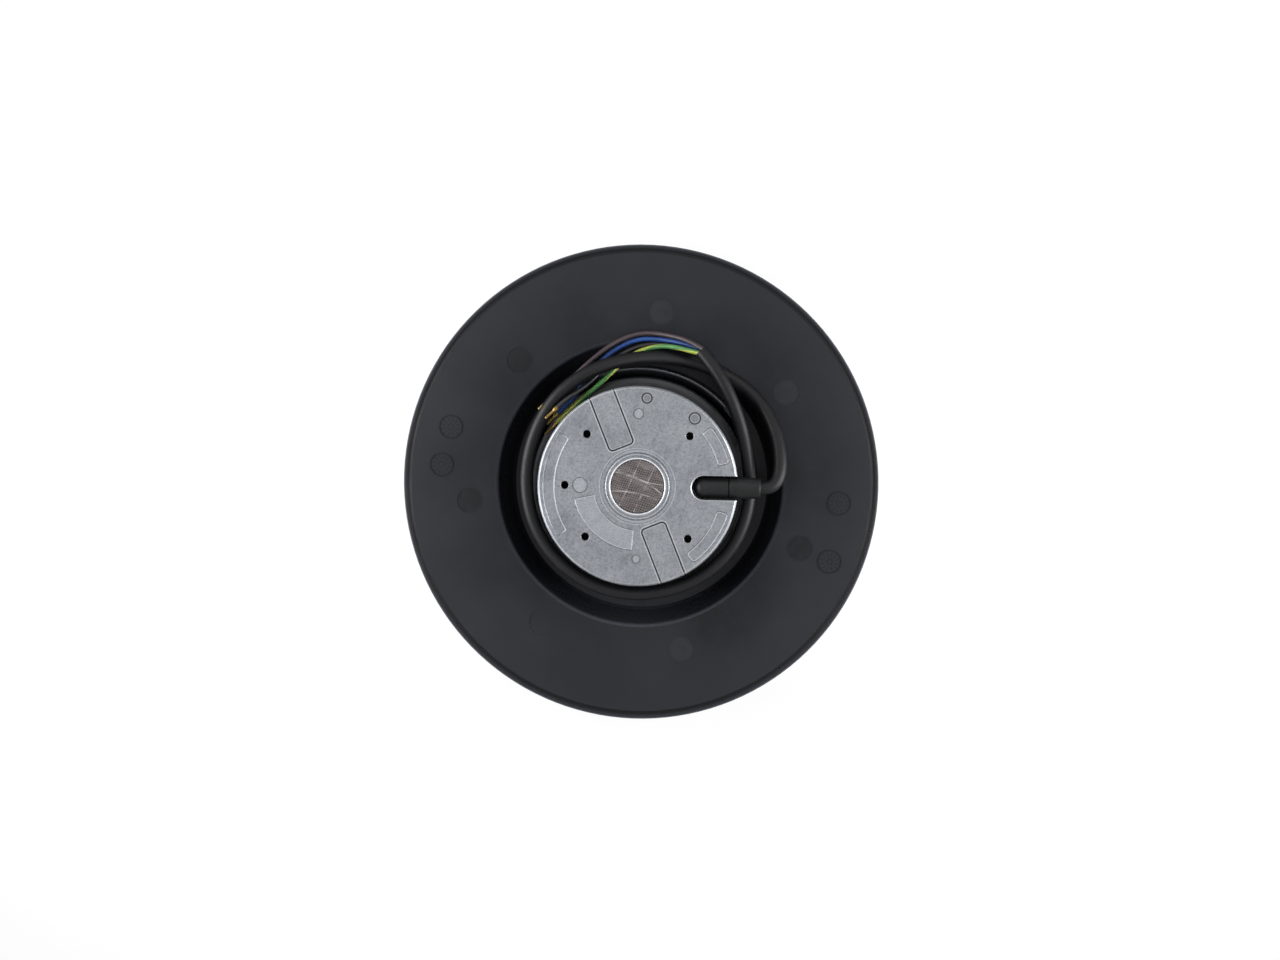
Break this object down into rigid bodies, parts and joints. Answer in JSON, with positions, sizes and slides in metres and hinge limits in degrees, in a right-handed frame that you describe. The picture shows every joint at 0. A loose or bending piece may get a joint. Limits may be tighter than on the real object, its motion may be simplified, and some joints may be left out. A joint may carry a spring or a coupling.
{
  "type": "centrifugal fan",
  "caption": "Backward-curved centrifugal fan: black moulded impeller with an inlet eye, round an external-rotor motor with a die-cast mounting flange and a coiled supply cable.",
  "frame": {"origin": "on the spin axis, in the plane of the inlet lip that the fan lies on, at the centre of the bounding box's bottom (measured without the cable)", "axes": "+Z is the spin axis, out of the motor's mounting flange and away from the inlet. +X runs from the axis along the cable's slot in the flange. +Y completes a right-handed frame."},
  "size_m": [0.225, 0.225, 0.099],
  "materials": {
    "black_plastic": "moulded black plastic with a matt, faintly grained skin",
    "grey_plate": "deep-drawn steel, dark grey coat",
    "spring_steel": "bright spring steel",
    "screw_steel": "zinc-plated steel",
    "lamination_steel": "stacked steel laminations",
    "cast_aluminium": "die-cast aluminium, matt and mottled",
    "cage_aluminium": "pressure-cast aluminium",
    "bearing_steel": "ground bearing steel",
    "cap_steel": "thin pressed steel, scratched",
    "insulator_plastic": "natural glass-filled plastic",
    "copper_wire": "enamelled copper winding",
    "protector_plastic": "moulded case",
    "sleeve_rubber": "moulded black rubber",
    "cable_pvc": "extruded black cable sheath, matt",
    "brown_pvc": "brown wire insulation",
    "blue_pvc": "blue wire insulation",
    "black_pvc": "black wire insulation",
    "earth_pvc": "green wire insulation with a yellow stripe",
    "brass_ferrule": "bright brass"
  },
  "bodies": {
    "stator": {"auxiliary_winding": "copper_wire", "bearing_cap": "cap_steel", "black_conductor": "black_pvc", "black_ferrule": "brass_ferrule", "blue_conductor": "blue_pvc", "blue_ferrule": "brass_ferrule", "brown_conductor": "brown_pvc", "brown_ferrule": "brass_ferrule", "cable_sleeve": "sleeve_rubber", "earth_conductor": "earth_pvc", "earth_ferrule": "brass_ferrule", "lower_bearing_outer_ring": "bearing_steel", "lower_bearing_shields": "cap_steel", "lower_insulator": "insulator_plastic", "main_winding": "copper_wire", "mains_cable": "cable_pvc", "preload_washer": "spring_steel", "stator_core": "lamination_steel", "stator_flange": "cast_aluminium", "thermal_protector": "protector_plastic", "upper_bearing_outer_ring": "bearing_steel", "upper_bearing_shields": "cap_steel", "upper_insulator": "insulator_plastic"},
    "impeller": {"impeller_disc": "black_plastic", "blade_1": "black_plastic", "blade_2": "black_plastic", "blade_3": "black_plastic", "blade_4": "black_plastic", "blade_5": "black_plastic", "blade_6": "black_plastic", "blade_7": "black_plastic", "inlet_shroud": "black_plastic", "balance_clip": "spring_steel", "rotor_can": "grey_plate", "hub_screws": "screw_steel", "rotor_core": "lamination_steel", "squirrel_cage": "cage_aluminium", "shaft": "bearing_steel", "shaft_clip": "spring_steel", "lower_bearing_inner_ring": "bearing_steel", "upper_bearing_inner_ring": "bearing_steel", "lower_bearing_balls": "bearing_steel", "upper_bearing_balls": "bearing_steel"}
  },
  "joints": [
    {"name": "impeller_spin", "type": "hinge", "parent": "stator", "child": "impeller", "pos_m": [0, 0, 0.05], "axis": [0, 0, 1], "continuous": true}
  ]
}
